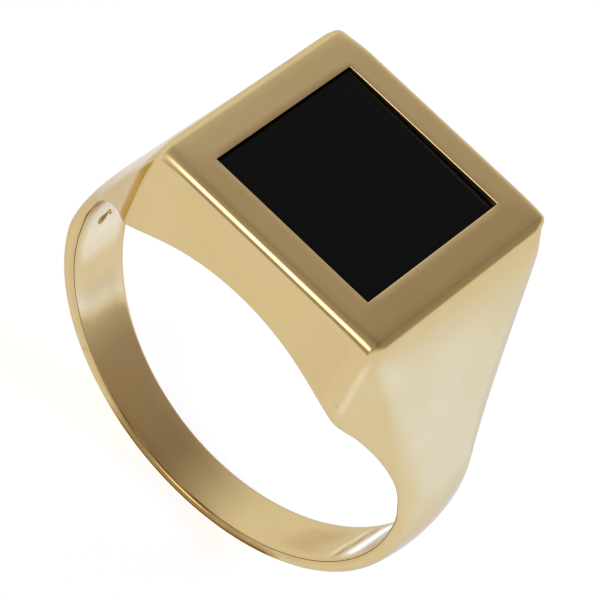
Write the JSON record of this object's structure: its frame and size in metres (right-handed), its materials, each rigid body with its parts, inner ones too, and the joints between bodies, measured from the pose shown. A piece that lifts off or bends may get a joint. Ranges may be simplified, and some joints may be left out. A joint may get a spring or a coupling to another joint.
{
  "type": "signet ring",
  "caption": "Square signet ring for a finger: a hollow yellow-gold head holds a flat black stone, shoulders narrow to a thin half-round shank.",
  "frame": {"origin": "middle of the finger hole, on its axis", "axes": "+Z to the head that holds the stone, Y along the finger, X across the head"},
  "size_m": [0.0218, 0.0126, 0.024],
  "materials": {
    "gold": "polished",
    "solder": "satin",
    "onyx": "polished",
    "cement": "matte"
  },
  "bodies": {
    "root": {"head_frame": "gold", "front_cheek": "gold", "back_cheek": "gold", "left_shoulder": "gold", "right_shoulder": "gold", "shank": "gold", "stone_seat": "gold", "left_seam": "solder", "right_seam": "solder", "onyx_tablet": "onyx", "stone_cement": "cement"}
  },
  "joints": []
}
